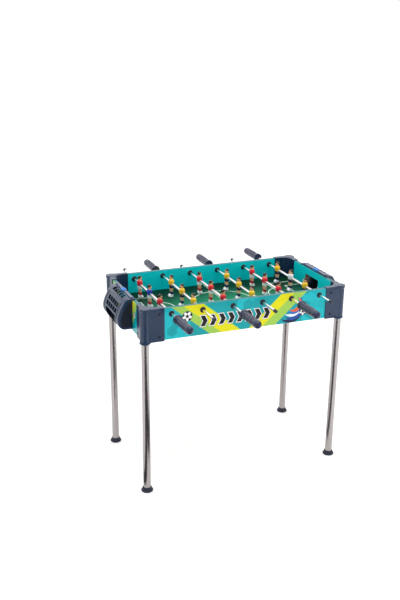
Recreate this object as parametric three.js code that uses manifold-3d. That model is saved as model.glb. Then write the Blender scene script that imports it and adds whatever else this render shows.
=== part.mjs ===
// A children's foosball table on four legs, in millimetres.
// +X runs along the table, +Y across it and +Z up. The origin is on the floor, under the table's centre.
// Players in red play from the -Y side, players in yellow from the +Y side.

import * as THREE from "three";
import { mergeVertices } from "three/addons/utils/BufferGeometryUtils.js";
import Module from "manifold-3d";

const wasm = await Module();
wasm.setup();

// Driving dimensions.
const GAP = 0.3; // left between pieces that touch
const LEG = { x: 330, y: 176, radius: 12, wall: 1.2, top: 600 };
const PANEL = { bottom: 512, top: 612, thickness: 12, side: 188, end: 338 };
const PITCH = { top: 544.5, thickness: 3, groove: 3.7 };
const GOAL = { halfWidth: 44, top: 589.5 };
const ROD = { radius: 4, z: 593, pitch: 100, count: 6, inHandle: 300, inCap: 271 };
const BUSHING = { flange: 9.2, proud: 2.5, bore: 4.8 };
const BRACKET = { bottom: 509, top: 614.5, skin: 2.4, sideReach: 273, endReach: 129, fillet: 33, column: 16 };
const HANDLE = { start: 256, end: 364 };
const PLAYER_PITCH = 100;
const PLAYER_BORE = 4.8;
const BASKET = { halfWidth: 84, cheek: 74, wall: 2.6, bottom: 519, top: 615.5, reach: 386, waist: 548 };
const RAIL = { x: 337, width: 9, halfLength: 73.5, block: 6.5, bottom: 615, top: 617.8 };

// Where each rod rests along Y, measured from the table's centre line.
const ROD_REST = [17, -10, -9, -8, 4, 9];
const SCORE_REST = { left: 10, right: -10 };

const innerSide = PANEL.side - PANEL.thickness;
const innerEnd = PANEL.end - PANEL.thickness;

// Materials.
const material = (color, roughness, metalness = 0) =>
  new THREE.MeshStandardMaterial({ color, roughness, metalness });
const NAVY = material(0x343b5c, 0.55);
const TEAL = material(0x0aa3aa, 0.4);
const PITCH_GREEN = material(0x0b5a3c, 0.5);
const CHROME = material(0xc9c9cc, 0.15, 1);
const RUBBER = material(0x232a44, 0.75);
const RAIL_GREY = material(0x2a2f48, 0.5);
const BLUE = material(0x2f86c8, 0.4);
const RED_SHIRT = material(0xc81e2c, 0.45);
const YELLOW_SHIRT = material(0xf0b92a, 0.45);
const KEEPER_BLUE = material(0x1f3a93, 0.45);
const KEEPER_WHITE = material(0xeceef2, 0.45);

// Solids: three.js makes the shapes, and these join and cut them.
function solid(geometry) {
  const bare = geometry.index ? geometry.toNonIndexed() : geometry.clone();
  bare.deleteAttribute("normal");
  bare.deleteAttribute("uv");
  const merged = mergeVertices(bare, 1e-4);
  return new wasm.Manifold(
    new wasm.Mesh({
      numProp: 3,
      vertProperties: merged.attributes.position.array,
      triVerts: new Uint32Array(merged.index.array),
    }),
  );
}

function geometryOf(made) {
  const mesh = made.getMesh();
  const geometry = new THREE.BufferGeometry();
  geometry.setAttribute("position", new THREE.BufferAttribute(mesh.vertProperties, 3));
  geometry.setIndex(new THREE.BufferAttribute(mesh.triVerts, 1));
  geometry.computeVertexNormals();
  return geometry;
}

const join = (first, ...rest) => rest.reduce((sum, next) => sum.add(next), first);
const cut = (first, ...rest) => rest.reduce((left, next) => left.subtract(next), first);

function box([x0, x1], [y0, y1], [z0, z1]) {
  const geometry = new THREE.BoxGeometry(x1 - x0, y1 - y0, z1 - z0);
  return solid(geometry.translate((x0 + x1) / 2, (y0 + y1) / 2, (z0 + z1) / 2));
}

const shapeOf = (points) => new THREE.Shape(points.map(([x, y]) => new THREE.Vector2(x, y)));

// An outline in X and Y, standing from z0 up to z1.
function uprightPrism(shape, z0, z1, curveSegments = 6) {
  const settings = { depth: z1 - z0, bevelEnabled: false, curveSegments };
  return solid(new THREE.ExtrudeGeometry(shape, settings).translate(0, 0, z0));
}

// An outline in X and Z, reaching from -halfWidth to halfWidth along Y.
function crossPrism(shape, halfWidth, curveSegments = 6) {
  const settings = { depth: 2 * halfWidth, bevelEnabled: false, curveSegments };
  return solid(new THREE.ExtrudeGeometry(shape, settings).rotateX(Math.PI / 2).translate(0, halfWidth, 0));
}

// An outline in Y and Z, reaching from x0 to x1.
function depthPrism(points, x0, x1) {
  const settings = { depth: x1 - x0, bevelEnabled: false };
  const geometry = new THREE.ExtrudeGeometry(shapeOf(points), settings);
  return solid(geometry.rotateX(Math.PI / 2).rotateZ(Math.PI / 2).translate(x0, 0, 0));
}

// A turned piece: each point is a radius and a place along the axis, which is +Z until it is turned.
function turned(points, segments) {
  return new THREE.LatheGeometry(points.map(([r, t]) => new THREE.Vector2(r, t)), segments).rotateX(Math.PI / 2);
}

// A round bar or hole along Y.
function crossBar(radius, y0, y1, x, z, segments) {
  const geometry = new THREE.CylinderGeometry(radius, radius, y1 - y0, segments);
  return solid(geometry.translate(x, (y0 + y1) / 2, z));
}

const foosball = new THREE.Group();

function place(name, geometry, finish, x = 0, y = 0, z = 0) {
  const mesh = new THREE.Mesh(geometry, finish);
  mesh.name = name;
  mesh.position.set(x, y, z);
  foosball.add(mesh);
  return mesh;
}

const rodX = (index) => (index - (ROD.count - 1) / 2) * ROD.pitch;
const rodNumbers = [...Array(ROD.count).keys()];

// The pitch board's outline: its edges lie in the panels' grooves, and its corners clear the leg columns.
function pitchOutline(grow) {
  const x = innerEnd + PITCH.groove + grow;
  const y = innerSide + PITCH.groove + grow;
  const cornerX = 28.7;
  const cornerY = 32.7;
  const corner = (sx, sy) => [
    [sx * x, sy * (y - cornerY)],
    [sx * (x - cornerX), sy * y],
  ];
  const around = [corner(1, 1), corner(-1, 1).reverse(), corner(-1, -1), corner(1, -1).reverse()];
  return shapeOf(around.flat());
}

const pitchBottom = PITCH.top - PITCH.thickness;
const pitchBoard = uprightPrism(pitchOutline(0), pitchBottom, PITCH.top);
const pitchGroove = uprightPrism(pitchOutline(GAP), pitchBottom - GAP, PITCH.top + GAP);
place("pitch_board", geometryOf(pitchBoard), PITCH_GREEN);

// Side panels, each with a flanged bushing for every rod.
const sideLength = 311.7;

function sidePanel(side) {
  const faces = [side * innerSide, side * PANEL.side].sort((a, b) => a - b);
  const board = box([-sideLength, sideLength], faces, [PANEL.bottom, PANEL.top]);
  const [near, far] = [faces[0] - BUSHING.proud, faces[1] + BUSHING.proud];
  const flanges = rodNumbers.map((rod) => crossBar(BUSHING.flange, near, far, rodX(rod), ROD.z, 12));
  const bores = rodNumbers.map((rod) => crossBar(BUSHING.bore, near - 1, far + 1, rodX(rod), ROD.z, 10));
  return cut(join(board, ...flanges), pitchGroove, ...bores);
}

place("side_panel_front", geometryOf(sidePanel(-1)), TEAL);
place("side_panel_back", geometryOf(sidePanel(1)), TEAL);

// End panels, each with a goal mouth.
const endLength = 158;

function endPanel(end) {
  const faces = [end * innerEnd, end * PANEL.end].sort((a, b) => a - b);
  const board = box(faces, [-endLength, endLength], [PANEL.bottom, PANEL.top]);
  const mouthFaces = [faces[0] - 1, faces[1] + 1];
  const mouthHeight = [pitchBottom - GAP, GOAL.top];
  return cut(board, pitchGroove, box(mouthFaces, [-GOAL.halfWidth, GOAL.halfWidth], mouthHeight));
}

place("end_panel_left", geometryOf(endPanel(-1)), TEAL);
place("end_panel_right", geometryOf(endPanel(1)), TEAL);

// A corner bracket: two skins that hold both panels, a rounded inner wall, and a column with the leg's socket.
function cornerBracket() {
  const inSide = innerSide - GAP - BRACKET.skin;
  const inEnd = innerEnd - GAP - BRACKET.skin;
  const outSide = PANEL.side + GAP + BRACKET.skin;
  const outEnd = PANEL.end + GAP + BRACKET.skin;
  const outline = new THREE.Shape();
  outline.moveTo(BRACKET.sideReach, inSide);
  outline.lineTo(inEnd - BRACKET.fillet, inSide);
  outline.absarc(inEnd - BRACKET.fillet, inSide - BRACKET.fillet, BRACKET.fillet, Math.PI / 2, 0, true);
  outline.lineTo(inEnd, BRACKET.endReach);
  outline.lineTo(outEnd, BRACKET.endReach);
  outline.lineTo(outEnd, LEG.y);
  outline.lineTo(LEG.x, outSide);
  outline.lineTo(BRACKET.sideReach, outSide);
  const jacket = uprightPrism(outline, BRACKET.bottom, BRACKET.top, 5);
  const ring = BRACKET.column + 1.6;
  const column = [
    [0, BRACKET.bottom - 6],
    [ring - 2, BRACKET.bottom - 6],
    [ring, BRACKET.bottom - 3],
    [BRACKET.column, BRACKET.bottom + 3],
    [BRACKET.column, BRACKET.top - 9],
    [ring, BRACKET.top - 6],
    [ring, BRACKET.top],
    [ring - 3, BRACKET.top + 2.6],
    [0, BRACKET.top + 3],
  ];
  const socket = new THREE.CylinderGeometry(LEG.radius + 2 * GAP, LEG.radius + 2 * GAP, 120, 16);
  const slotTop = PANEL.top + GAP;
  return cut(
    join(jacket, solid(turned(column, 16).translate(LEG.x, LEG.y, 0))),
    box([0, sideLength + GAP], [innerSide - GAP, PANEL.side + GAP], [0, slotTop]),
    box([innerEnd - GAP, PANEL.end + GAP], [0, endLength + GAP], [0, slotTop]),
    uprightPrism(pitchOutline(GAP), 0, PITCH.top + GAP),
    solid(socket.rotateX(Math.PI / 2).translate(LEG.x, LEG.y, LEG.top + GAP - 60)),
  );
}

// The leg: a thin tube from inside the foot up into the bracket's column.
const footFloor = 4;

function legTube() {
  const inside = LEG.radius - LEG.wall;
  const bottom = footFloor + GAP;
  const wall = [
    [inside, bottom],
    [LEG.radius, bottom],
    [LEG.radius, LEG.top],
    [inside, LEG.top],
    [inside, bottom],
  ];
  return turned(wall, 20);
}

// The foot: a flared cup that the tube stands in.
function legFoot() {
  const socket = LEG.radius + GAP;
  const cup = [
    [0, 0],
    [17.5, 0],
    [19, 2],
    [19, 5],
    [14.2, 14],
    [socket, 14],
    [socket, footFloor],
    [0, footFloor],
  ];
  return turned(cup, 16);
}

const bracketGeometry = geometryOf(cornerBracket());
const legGeometry = legTube();
const footGeometry = legFoot();
const corners = {
  front_left: [-1, -1],
  front_right: [1, -1],
  back_left: [-1, 1],
  back_right: [1, 1],
};
for (const [corner, [sx, sy]] of Object.entries(corners)) {
  place("corner_bracket_" + corner, bracketGeometry, NAVY).scale.set(sx, sy, 1);
  place("leg_" + corner, legGeometry, CHROME, sx * LEG.x, sy * LEG.y);
  place("foot_" + corner, footGeometry, RUBBER, sx * LEG.x, sy * LEG.y);
}

// The handle, turned about its rod: each point is a radius and a distance from the rod's middle.
const handleProfile = [
  [0, ROD.inHandle + GAP],
  [ROD.radius + GAP, ROD.inHandle + GAP],
  [ROD.radius + GAP, HANDLE.start],
  [14.6, HANDLE.start],
  [14.6, HANDLE.start + 7],
  [11.8, HANDLE.start + 11],
  [12.6, HANDLE.end - 14],
  [8.8, HANDLE.end - 3],
  [0, HANDLE.end],
];
const capProfile = [
  [0, ROD.inCap + GAP],
  [ROD.radius + GAP, ROD.inCap + GAP],
  [ROD.radius + GAP, ROD.inCap - 9],
  [5.6, ROD.inCap - 9],
  [5.6, ROD.inCap + 1],
  [3.6, ROD.inCap + 3],
  [0, ROD.inCap + 3],
];

// Turned about Y, with the far end at the given side of the table.
function alongRod(profile, side, segments) {
  return turned(profile, segments).rotateX((-side * Math.PI) / 2);
}

// A player: head, shirt, legs and boots in one moulding, bored for the rod, at the origin, facing +X.
function playerFigure() {
  const shirt = [
    [-10, -6],
    [10, -6],
    [11.8, 4],
    [9, 13.5],
    [-9, 13.5],
    [-11.8, 4],
  ];
  const legs = [
    [-8.5, -5],
    [-7.4, -41],
    [7.4, -41],
    [8.5, -5],
  ];
  const head = new THREE.SphereGeometry(7.4, 7, 4).rotateX(Math.PI / 2).translate(0.3, 0, 20.5);
  return cut(
    join(
      depthPrism(shirt, -7.2, 7.2),
      depthPrism(legs, -5, 5),
      box([-5.5, 9], [-7.8, 7.8], [-46.5, -39]),
      solid(head),
    ),
    crossBar(PLAYER_BORE, -20, 20, 0, 0, 8),
  );
}

const figure = geometryOf(playerFigure());
const playerPlaces = { front: -1, middle: 0, back: 1 };

function shirtOf(rod, spot) {
  if (spot === "middle" && rod === 0) return KEEPER_BLUE;
  if (spot === "middle" && rod === ROD.count - 1) return KEEPER_WHITE;
  return rod % 2 === 0 ? RED_SHIRT : YELLOW_SHIRT;
}

for (const rod of rodNumbers) {
  const number = rod + 1;
  const handleSide = rod % 2 === 0 ? -1 : 1;
  const facing = rod % 2 === 0 ? 0 : Math.PI;
  const [x, y] = [rodX(rod), ROD_REST[rod]];
  const length = ROD.inHandle + ROD.inCap;
  const bar = new THREE.CylinderGeometry(ROD.radius, ROD.radius, length, 12);
  bar.translate(0, (handleSide * (ROD.inHandle - ROD.inCap)) / 2, 0);
  place("rod_" + number, bar, CHROME, x, y, ROD.z);
  place("handle_" + number, alongRod(handleProfile, handleSide, 16), NAVY, x, y, ROD.z);
  place("rod_end_cap_" + number, alongRod(capProfile, -handleSide, 12), RUBBER, x, y, ROD.z);
  for (const [spot, step] of Object.entries(playerPlaces)) {
    const name = `player_${number}_${spot}`;
    const player = place(name, figure, shirtOf(rod, spot), x, y + step * PLAYER_PITCH, ROD.z);
    player.rotation.z = facing;
  }
}

// The ball basket's outline behind a goal, drawn in X and Z and thinned by a wall where it is hollow.
function basketOutline(wall) {
  const [bottom, top, reach] = [BASKET.bottom + wall, BASKET.top - wall, BASKET.reach - wall];
  const back = PANEL.end + (wall > 0 ? -5 : GAP);
  const outline = new THREE.Shape();
  outline.moveTo(back, bottom);
  outline.lineTo(362, bottom);
  outline.bezierCurveTo(377, bottom, reach, 533, reach, BASKET.waist);
  outline.bezierCurveTo(reach, 569, reach - 14, 591, reach - 25, top - 6);
  outline.bezierCurveTo(reach - 28, top - 1, reach - 34, top, back, top);
  return outline;
}

// Hooks hold the basket on the panel's top edge, a slot along the score rail keeps its top open,
// and its curved face has a ball pocket below and a grille above.
function goalBasket() {
  const { halfWidth, cheek, wall, top } = BASKET;
  const hook = (side) => {
    const width = [side * cheek, side * halfWidth].sort((a, b) => a - b);
    return box([innerEnd + 3, PANEL.end + 8], width, [PANEL.top + GAP, top]);
  };
  const shell = cut(
    crossPrism(basketOutline(0), halfWidth, 3),
    crossPrism(basketOutline(wall), halfWidth - wall, 3),
  );
  const slot = box([PANEL.end - 5, RAIL.x + RAIL.width / 2 + 3], [-cheek, cheek], [600, top + 5]);
  const pocket = box([355, 400], [-52, 52], [527, 558]);
  const windows = [];
  const [columns, width, bar] = [5, 18, 3.5];
  for (let column = 0; column < columns; column++) {
    const middle = (column - (columns - 1) / 2) * (width + bar);
    const across = [middle - width / 2, middle + width / 2];
    windows.push(box([350, 400], across, [563, 577]));
    windows.push(box([350, 400], across, [580.5, 594]));
    windows.push(box([347.5, 361], across, [598, 630]));
  }
  return cut(join(shell, hook(-1), hook(1)), slot, pocket, ...windows);
}

// The score rail: a flat bar between two blocks that stand on the end panel's top edge.
function scoreRail() {
  const faces = [RAIL.x - RAIL.width / 2, RAIL.x + RAIL.width / 2];
  const block = (side) => {
    const ends = [side * (RAIL.halfLength - RAIL.block), side * RAIL.halfLength].sort((a, b) => a - b);
    return box([faces[0] - 1, faces[1] + 1], ends, [PANEL.top + GAP, RAIL.top + 0.7]);
  };
  const barEnds = [1 - RAIL.halfLength, RAIL.halfLength - 1];
  return join(box(faces, barEnds, [RAIL.bottom, RAIL.top]), block(-1), block(1));
}

// The score slider: a sleeve around the bar.
function scoreSlider() {
  const clear = 0.5;
  const wall = 1.6;
  const across = (grow) => [RAIL.x - RAIL.width / 2 - grow, RAIL.x + RAIL.width / 2 + grow];
  const height = (grow) => [RAIL.bottom - grow, RAIL.top + grow];
  const sleeve = box(across(clear + wall), [-12, 12], height(clear + wall));
  return cut(sleeve, box(across(clear), [-20, 20], height(clear)));
}

const basketGeometry = geometryOf(goalBasket());
const railGeometry = geometryOf(scoreRail());
const sliderGeometry = geometryOf(scoreSlider());
for (const [end, side] of Object.entries({ left: -1, right: 1 })) {
  place("goal_basket_" + end, basketGeometry, NAVY).scale.x = side;
  place("score_rail_" + end, railGeometry, RAIL_GREY).scale.x = side;
  place("score_slider_" + end, sliderGeometry, BLUE, 0, SCORE_REST[end], 0).scale.x = side;
}

export default foosball;
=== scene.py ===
"""The looks of a children's foosball table on four chromed legs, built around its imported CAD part.

Shapes are in millimetres: X runs along the table, Y across it, and Z up from the floor under its centre.
"""

import math

import bmesh
import bpy
from mathutils import Matrix, Vector


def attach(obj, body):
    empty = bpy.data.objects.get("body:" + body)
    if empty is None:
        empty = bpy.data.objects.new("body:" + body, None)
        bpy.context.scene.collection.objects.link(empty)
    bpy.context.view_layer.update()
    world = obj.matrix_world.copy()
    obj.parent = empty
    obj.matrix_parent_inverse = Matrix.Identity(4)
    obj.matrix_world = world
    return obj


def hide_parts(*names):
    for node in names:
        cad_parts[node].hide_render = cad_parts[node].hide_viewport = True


MM = 0.001
GAP = 0.3

LEG_X, LEG_Y, LEG_RADIUS, LEG_TOP = 330, 176, 12, 600
BOARD_BOTTOM, BOARD_TOP, BOARD_THICKNESS = 512, 612, 12
SIDE_OUT, END_OUT = 188, 338
SIDE_IN, END_IN = SIDE_OUT - BOARD_THICKNESS, END_OUT - BOARD_THICKNESS
SIDE_LENGTH, END_LENGTH = 311.7, 158
PITCH_TOP, PITCH_THICKNESS, GROOVE = 544.5, 3, 3.7
GOAL_HALF, GOAL_TOP = 44, 589.5
ROD_RADIUS, ROD_Z, ROD_PITCH, RODS = 4, 593, 100, 6
ROD_REST = [17, -10, -9, -8, 4, 9]
SCORE_REST = {"left": 10, "right": -10}
CORNERS = {"front_left": (-1, -1), "front_right": (1, -1), "back_left": (-1, 1), "back_right": (1, 1)}
ENDS = {"left": -1, "right": 1}

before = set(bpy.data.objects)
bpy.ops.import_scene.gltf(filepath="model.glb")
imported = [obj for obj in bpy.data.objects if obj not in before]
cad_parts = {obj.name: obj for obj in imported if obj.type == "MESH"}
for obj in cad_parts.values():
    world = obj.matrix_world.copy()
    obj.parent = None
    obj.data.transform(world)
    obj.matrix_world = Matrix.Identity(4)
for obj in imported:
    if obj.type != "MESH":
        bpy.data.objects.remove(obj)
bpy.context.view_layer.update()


# Shapes.


def add_object(name, data):
    """A new object in the scene."""
    made = bpy.data.objects.new(name, data)
    bpy.context.collection.objects.link(made)
    return made


def piece_from(name, points, faces):
    """A new object from points in millimetres, and faces that list them by number."""
    shape = bmesh.new()
    corners = [shape.verts.new(Vector(point) * MM) for point in points]
    for face in faces:
        shape.faces.new([corners[index] for index in face])
    bmesh.ops.remove_doubles(shape, verts=shape.verts, dist=1e-6)
    bmesh.ops.recalc_face_normals(shape, faces=shape.faces)
    mesh = bpy.data.meshes.new(name)
    shape.to_mesh(mesh)
    shape.free()
    return add_object(name, mesh)


def with_height(point, height, axis):
    """A point in the plane across an axis, at a height along that axis."""
    place = list(point)
    place.insert("xyz".index(axis), height)
    return place


def prism(name, outline, low, high, axis="z"):
    """An outline pushed from low to high along an axis."""
    count = len(outline)
    points = [with_height(point, low, axis) for point in outline]
    points += [with_height(point, high, axis) for point in outline]
    faces = [list(range(count)), list(range(count, 2 * count))]
    for index in range(count):
        following = (index + 1) % count
        faces.append([index, following, following + count, index + count])
    return piece_from(name, points, faces)


def rectangle(left, right, bottom, top):
    return [(left, bottom), (right, bottom), (right, top), (left, top)]


def block(name, x, y, z):
    """A block between two places on each axis."""
    return prism(name, rectangle(min(x), max(x), min(y), max(y)), min(z), max(z))


def rounded(points, radius, steps=4, closed=True):
    """The same outline with its corners rounded. A point's third number is its own radius."""
    result = []
    for index, point in enumerate(points):
        here = Vector(point[:2])
        back = Vector(points[index - 1][:2]) - here
        on = Vector(points[(index + 1) % len(points)][:2]) - here
        wanted = point[2] if len(point) > 2 else radius
        at_end = not closed and index in (0, len(points) - 1)
        if at_end or wanted <= 0 or back.angle(on) > math.pi - 0.06:
            result.append(tuple(here))
            continue
        setback = wanted / math.tan(back.angle(on) / 2)
        setback = min(setback, 0.48 * back.length, 0.48 * on.length)
        start = here + back.normalized() * setback
        end = here + on.normalized() * setback
        for step in range(steps + 1):
            t = step / steps
            result.append(tuple((1 - t) ** 2 * start + 2 * t * (1 - t) * here + t * t * end))
    return result


def curve(start, first, second, end, steps):
    """Points along a Bezier curve, without its start."""
    start, first, second, end = map(Vector, (start, first, second, end))
    points = []
    for step in range(1, steps + 1):
        t = step / steps
        u = 1 - t
        points.append(tuple(u**3 * start + 3 * u * u * t * first + 3 * u * t * t * second + t**3 * end))
    return points


def turned(name, profile, segments=48, axis="z", centre=(0, 0, 0)):
    """A profile of (radius, place along the axis) points, turned about the axis through a centre.

    The profile may be a function that gives the points at an angle.
    """
    points = []
    faces = []
    for step in range(segments):
        angle = 2 * math.pi * step / segments
        following = (step + 1) % segments
        outline = profile(angle) if callable(profile) else profile
        rows = len(outline)
        for row, (radius, along) in enumerate(outline):
            around = (radius * math.cos(angle), radius * math.sin(angle))
            points.append(Vector(with_height(around, along, axis)) + Vector(centre))
            if row + 1 < rows:
                ring, other = step * rows + row, following * rows + row
                faces.append([ring, ring + 1, other + 1, other])
    return piece_from(name, points, faces)


def bake(piece):
    """Makes what the piece's modifiers give its real mesh."""
    graph = bpy.context.evaluated_depsgraph_get()
    mesh = bpy.data.meshes.new_from_object(piece.evaluated_get(graph))
    piece.modifiers.clear()
    piece.data = mesh
    return piece


def combined(piece, tools, operation):
    for tool in tools:
        step = piece.modifiers.new(tool.name, "BOOLEAN")
        step.object = tool
        step.operation = operation
        step.solver = "EXACT"
    bake(piece)
    for tool in tools:
        bpy.data.objects.remove(tool)
    return piece


def cut(piece, *tools):
    return combined(piece, tools, "DIFFERENCE")


def joined(piece, *tools):
    return combined(piece, tools, "UNION")


def bevelled(piece, width, segments=2, angle=40):
    """Rounds the edges that turn by more than an angle."""
    bevel = piece.modifiers.new("bevel", "BEVEL")
    bevel.width = width * MM
    bevel.segments = segments
    bevel.limit_method = "ANGLE"
    bevel.angle_limit = math.radians(angle)
    bevel.miter_outer = "MITER_ARC"
    return bake(piece)


def mirrored(piece, name, x=1, y=1):
    """A copy of a piece, mirrored across the table's middle where x or y is -1."""
    mesh = piece.data.copy()
    mesh.transform(Matrix.Diagonal((x, y, 1, 1)))
    if x * y < 0:
        mesh.flip_normals()
    return add_object(name, mesh)


def smoothed(piece, sharp=30):
    """Smooth shading that keeps edges sharper than an angle and leaves large faces flat."""
    piece.data.shade_smooth()
    piece.data.set_sharp_from_angle(angle=math.radians(sharp))
    weigh = piece.modifiers.new("weigh", "WEIGHTED_NORMAL")
    weigh.keep_sharp = True
    weigh.weight = 80
    return bake(piece)


def hand_over(piece, body, slot, materials, stands_for=(), choose=None):
    """Gives a piece its materials and its place in the frame. choose picks a material for each face."""
    piece.data.materials.clear()
    for material in materials:
        piece.data.materials.append(material)
    for face in piece.data.polygons:
        face.material_index = choose(face.center / MM, face.normal) if choose else 0
    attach(piece, body)
    if stands_for:
        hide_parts(*stands_for)
    return piece


# Shader arithmetic.


class Number:
    """A number that shader nodes work out at each point, and that ordinary sums can use."""

    def __init__(self, tree, socket):
        self.tree = tree
        self.socket = socket

    def use(self, operation, *others, clamp=False):
        node = self.tree.nodes.new("ShaderNodeMath")
        node.operation = operation
        node.use_clamp = clamp
        for port, value in zip(node.inputs, (self, *others)):
            if isinstance(value, Number):
                self.tree.links.new(value.socket, port)
            else:
                port.default_value = value
        return Number(self.tree, node.outputs[0])

    def __add__(self, other):
        return self.use("ADD", other)

    def __sub__(self, other):
        return self.use("SUBTRACT", other)

    def __mul__(self, other):
        return self.use("MULTIPLY", other)

    def __truediv__(self, other):
        return self.use("DIVIDE", other)

    def __mod__(self, other):
        return self.use("FLOORED_MODULO", other)

    def __rsub__(self, other):
        return self * -1.0 + other

    __radd__ = __add__
    __rmul__ = __mul__

    def size(self):
        return self.use("ABSOLUTE")

    def root(self):
        return self.use("SQRT")

    def least(self, other):
        return self.use("MINIMUM", other)

    def most(self, other):
        return self.use("MAXIMUM", other)

    def inside(self, soft=0.3):
        """1 where the number is below zero and 0 where it is above, with an edge this soft."""
        return self.use("MULTIPLY_ADD", -1 / soft, 0.5, clamp=True)


def disc(u, v, centre, radius):
    """The distance out from a circle."""
    across, up = u - centre[0], v - centre[1]
    return (across * across + up * up).root() - radius


def panel(u, v, centre, half, radius=0.0):
    """The distance out from a rectangle with rounded corners."""
    across = (u - centre[0]).size() - (half[0] - radius)
    up = (v - centre[1]).size() - (half[1] - radius)
    over, above = across.most(0.0), up.most(0.0)
    return (over * over + above * above).root() + across.most(up).least(0.0) - radius


def paint(red, green, blue):
    """A display colour, from 0 to 255, as the linear colour that shaders use."""
    linear = []
    for value in (red, green, blue):
        share = value / 255
        linear.append(share / 12.92 if share <= 0.04045 else ((share + 0.055) / 1.055) ** 2.4)
    return (*linear, 1.0)


class Surface:
    """A material whose colour, roughness and relief are worked out from the place on its piece."""

    def __init__(self, name, colour, roughness=0.5, metallic=0.0):
        self.material = bpy.data.materials.new(name)
        self.material.use_nodes = True
        self.tree = self.material.node_tree
        self.shader = self.tree.nodes["Principled BSDF"]
        self.shader.inputs["Base Color"].default_value = colour
        self.shader.inputs["Roughness"].default_value = roughness
        self.shader.inputs["Metallic"].default_value = metallic
        self.colour = colour
        self.roughness = roughness
        self.place = self.tree.nodes.new("ShaderNodeTexCoord").outputs["Object"]
        parts = self.tree.nodes.new("ShaderNodeSeparateXYZ")
        self.tree.links.new(self.place, parts.inputs[0])
        self.x, self.y, self.z = (Number(self.tree, port) * (1 / MM) for port in parts.outputs)

    def noise(self, size, detail=3.0, stretch=(1, 1, 1), seed=0.0):
        """Smooth noise from 0 to 1, with features of about this size, stretched along the axes."""
        scale = self.tree.nodes.new("ShaderNodeMapping")
        scale.inputs["Location"].default_value = (seed, seed, seed)
        scale.inputs["Scale"].default_value = [1 / (MM * size * part) for part in stretch]
        self.tree.links.new(self.place, scale.inputs["Vector"])
        node = self.tree.nodes.new("ShaderNodeTexNoise")
        node.inputs["Scale"].default_value = 1.0
        node.inputs["Detail"].default_value = detail
        self.tree.links.new(scale.outputs["Vector"], node.inputs["Vector"])
        return Number(self.tree, node.outputs["Fac"])

    def lay(self, colour, mask):
        """Lays a colour over what is there, as far as the mask says."""
        node = self.tree.nodes.new("ShaderNodeMix")
        node.data_type = "RGBA"
        self.tree.links.new(mask.socket, node.inputs[0])
        for port, value in ((node.inputs[6], self.colour), (node.inputs[7], colour)):
            if isinstance(value, bpy.types.NodeSocket):
                self.tree.links.new(value, port)
            else:
                port.default_value = value
        self.colour = node.outputs[2]
        self.tree.links.new(self.colour, self.shader.inputs["Base Color"])

    def shade(self, factor):
        """Multiplies the colour by a number."""
        node = self.tree.nodes.new("ShaderNodeVectorMath")
        node.operation = "SCALE"
        if isinstance(self.colour, bpy.types.NodeSocket):
            self.tree.links.new(self.colour, node.inputs[0])
        else:
            node.inputs[0].default_value = self.colour[:3]
        self.tree.links.new(factor.socket, node.inputs["Scale"])
        self.colour = node.outputs[0]
        self.tree.links.new(self.colour, self.shader.inputs["Base Color"])

    def roughen(self, change):
        """Adds a number to the roughness."""
        total = (change + self.roughness).use("MAXIMUM", 0.02, clamp=True)
        self.tree.links.new(total.socket, self.shader.inputs["Roughness"])

    def raise_by(self, height):
        """Relief, as a height in millimetres."""
        node = self.tree.nodes.new("ShaderNodeBump")
        node.inputs["Strength"].default_value = 1.0
        node.inputs["Distance"].default_value = MM
        self.tree.links.new(height.socket, node.inputs["Height"])
        self.tree.links.new(node.outputs["Normal"], self.shader.inputs["Normal"])


def moulded(name, colour, roughness, grain=0.35, relief=0.02, dust=0.05):
    """Moulded plastic: a fine grain, slow changes of tone, faint rubbed patches and scratches."""
    surface = Surface(name, colour, roughness)
    tone = surface.noise(38, detail=4)
    surface.shade(tone * (2 * dust) + (1 - dust))
    rubbed = surface.noise(9, detail=5, stretch=(1, 1, 2.5), seed=4)
    surface.roughen((rubbed - 0.5) * 0.28)
    texture = surface.noise(grain, detail=2, seed=2) * relief
    scratches = surface.noise(1.1, detail=1, stretch=(14, 14, 0.5), seed=7) * (relief * 0.5)
    sink = surface.noise(26, detail=2, seed=5) * 0.12
    surface.raise_by(texture + scratches + sink)
    return surface


NAVY = moulded("navy plastic", paint(16, 44, 76), 0.3).material
# Darker navy for the sunken basket cheeks, and painted shade inside the basket shell.
NAVY_DARK_AND_SHADE = moulded("dark navy plastic and painted shade", paint(14, 14, 36), 0.5).material
GRIP_NAVY = moulded("grip plastic", paint(24, 32, 64), 0.3).material
# Paler grip plastic for the raised rims and ribs of the handles: a painted highlight.
GRIP_HIGHLIGHT = moulded("grip plastic painted highlight", paint(122, 130, 158), 0.35).material
RUBBER = moulded("black rubber", paint(22, 28, 50), 0.6, grain=0.5, relief=0.03).material
BLACK = moulded("black plastic", paint(22, 24, 40), 0.4).material
RAIL = moulded("grey rail plastic", paint(92, 96, 124), 0.32).material
LIGHT_BLUE = moulded("light blue plastic", paint(20, 128, 215), 0.35).material


def chrome(name, tint, roughness, grain):
    """Polished metal with drawing lines along the piece and faint clouding."""
    surface = Surface(name, tint, roughness, metallic=1.0)
    surface.roughen((surface.noise(22, detail=5) - 0.5) * 0.12)
    lines = surface.noise(0.35, detail=2, stretch=grain) * 0.004
    waves = surface.noise(55, detail=2, seed=3) * 0.05
    surface.raise_by(lines + waves)
    surface.shade(surface.noise(70, detail=4, seed=1) * 0.14 + 0.9)
    return surface.material


CHROME_TUBE = chrome("chromed tube", paint(164, 159, 158), 0.25, (1, 1, 400))
CHROME_ROD = chrome("chromed rod", paint(236, 230, 230), 0.24, (1, 400, 1))
# Dark steel for the screw heads in their recesses.
SCREW_STEEL = chrome("dark screw steel", paint(70, 72, 86), 0.35, (1, 1, 1))


# Printed boards.

TEAL = paint(0, 158, 164)
TURQUOISE = paint(16, 184, 194)
DEEP_TEAL = paint(0, 158, 165)
YELLOW = paint(226, 220, 6)
LIME = paint(158, 202, 84)
BRIGHT_LIME = paint(180, 214, 56)
INK = paint(8, 8, 12)
PAPER_WHITE = paint(244, 246, 248)


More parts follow.
